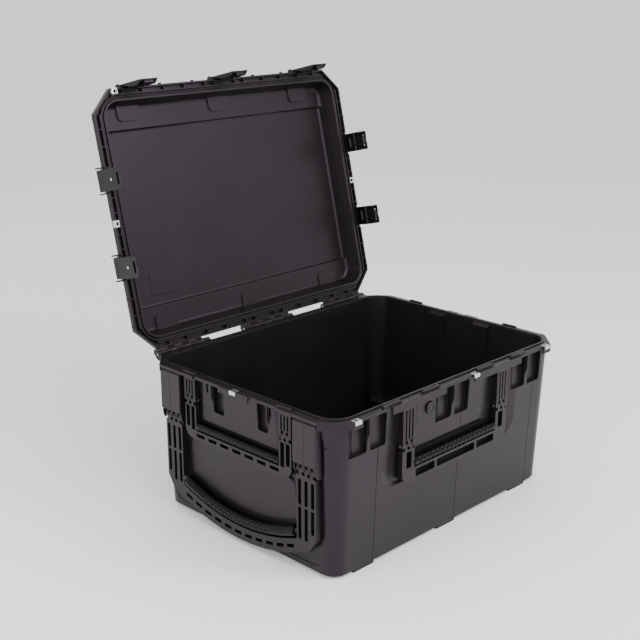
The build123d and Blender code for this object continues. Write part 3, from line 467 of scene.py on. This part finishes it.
tyre("front", -0.217)
tyre("rear", 0.217)

LATCHES = (("front_left", "front", -0.280), ("front_middle", "front", 0.0), ("front_right", "front", 0.280), ("left_rear", "left", -0.102),
           ("left_front", "left", 0.102), ("right_front", "right", -0.102), ("right_rear", "right", 0.102))


def rivet(tag, side_name, u):
    """low domed rivet head with a flat rim, on the boss in the middle of a latch's face"""
    prof = [(0.0, 0.00085), (0.0009, 0.00080), (0.0017, 0.00062), (0.0023, 0.00036), (0.0026, 0.00018), (0.0031, 0.00014), (0.0033, 0.00002),
            (0.0033, -0.00030)]
    bm = bmesh.new()
    rings, n = [], 28
    for r, h in prof[1:]:
        rings.append([LID_TURN @ at_side(side_name, u + r * cos(2 * pi * k / n), -0.0080 - h, H - 0.029 + r * sin(2 * pi * k / n)) for k in range(n)])
    sweep_rings(bm, rings)
    return link("latch_rivet_" + tag, bm, MAT["pin_steel"], "latch_" + tag, sharp=50.0)


for tag, sd, u in LATCHES:
    rivet(tag, sd, u)

# ================================================================ the stage
def stage_floor():
    bm = bmesh.new()
    # pale sweep: flat under the case and curved up far behind it
    r, n = 2.2, 18
    prof = [(-9.0, 0.0), (7.0, 0.0)] + [(7.0 + r * sin(a), r - r * cos(a)) for a in [pi / 2 * (i + 1) / n for i in range(n)]] + [(7.0 + r, 14.0)]
    ang = radians(-45.4)
    rows = []
    for y, z in prof:
        row = []
        for x in (-16.0, 16.0):
            row.append(bm.verts.new((x * cos(ang) - y * sin(ang), x * sin(ang) + y * cos(ang), z)))
        rows.append(row)
    for a, b in zip(rows, rows[1:]):
        bm.faces.new((a[0], a[1], b[1], b[0]))
    me = bpy.data.meshes.new("stage_floor")
    bm.to_mesh(me)
    bm.free()
    for p in me.polygons:
        p.use_smooth = True
    o = bpy.data.objects.new("stage_floor", me)
    bpy.context.scene.collection.objects.link(o)
    m = bpy.data.materials.new("stage_floor")
    nt, nd, lk = nodes_of(m)
    out = nd.new("ShaderNodeOutputMaterial")
    bs = nd.new("ShaderNodeBsdfPrincipled")
    lk.new(bs.outputs[0], out.inputs[0])
    bs.inputs["Base Color"].default_value = (0.92, 0.92, 0.92, 1.0)
    bs.inputs["Roughness"].default_value = 0.7
    bs.inputs["Specular IOR Level"].default_value = 0.25
    me.materials.append(m)
    return o


stage_floor()

world = bpy.data.worlds.new("studio")
bpy.context.scene.world = world
world.use_nodes = True
bg = world.node_tree.nodes["Background"]
bg.inputs[0].default_value = (1.0, 1.0, 1.0, 1.0)
bg.inputs[1].default_value = 1.22


def area(name, pos, target, size, power, size_y=None, color=(1, 1, 1)):
    d = bpy.data.lights.new(name, "AREA")
    d.energy = power
    d.color = color
    d.size = size
    if size_y:
        d.shape = "RECTANGLE"
        d.size_y = size_y
    o = bpy.data.objects.new(name, d)
    bpy.context.scene.collection.objects.link(o)
    o.location = pos
    o.rotation_euler = (Vector(target) - Vector(pos)).to_track_quat("-Z", "Y").to_euler()
    return o


area("key_front", (-0.8, -2.6, 2.4), (0, 0, 0.4), 2.0, 50.0)
area("key_lid", (1.0, -2.3, 2.4), (-0.2, 0.3, 0.8), 0.9, 50.0)
area("key_left", (-3.2, 0.2, 1.1), (0, 0, 0.3), 1.8, 58.0)
area("left_front", (-2.7, -2.0, 1.35), (0.3, 0.4, 0.8), 0.5, 12.0)
area("top", (0.0, 0.0, 3.2), (0, 0, 0.3), 2.6, 12.0)
area("back", (0.3, 3.0, 2.6), (0, 0, 0.3), 2.0, 10.0)

# ================================================================ the camera
cam = bpy.data.cameras.new("camera")
cam.sensor_width = 36.0
cam.lens = 64.4
cam.clip_end = 60.0
co = bpy.data.objects.new("camera", cam)
bpy.context.scene.collection.objects.link(co)
az, el, roll = radians(-45.40), radians(17.21), radians(-0.04)
back = Vector((sin(az) * cos(el), -cos(az) * cos(el), sin(el)))
right = Vector((cos(az), sin(az), 0.0))
up = back.cross(right)
r2 = right * cos(roll) + up * sin(roll)
u2 = up * cos(roll) - right * sin(roll)
co.matrix_world = Matrix(((r2.x, u2.x, back.x, -1.9131), (r2.y, u2.y, back.y, -1.7552), (r2.z, u2.z, back.z, 1.2406), (0, 0, 0, 1)))
bpy.context.scene.camera = co
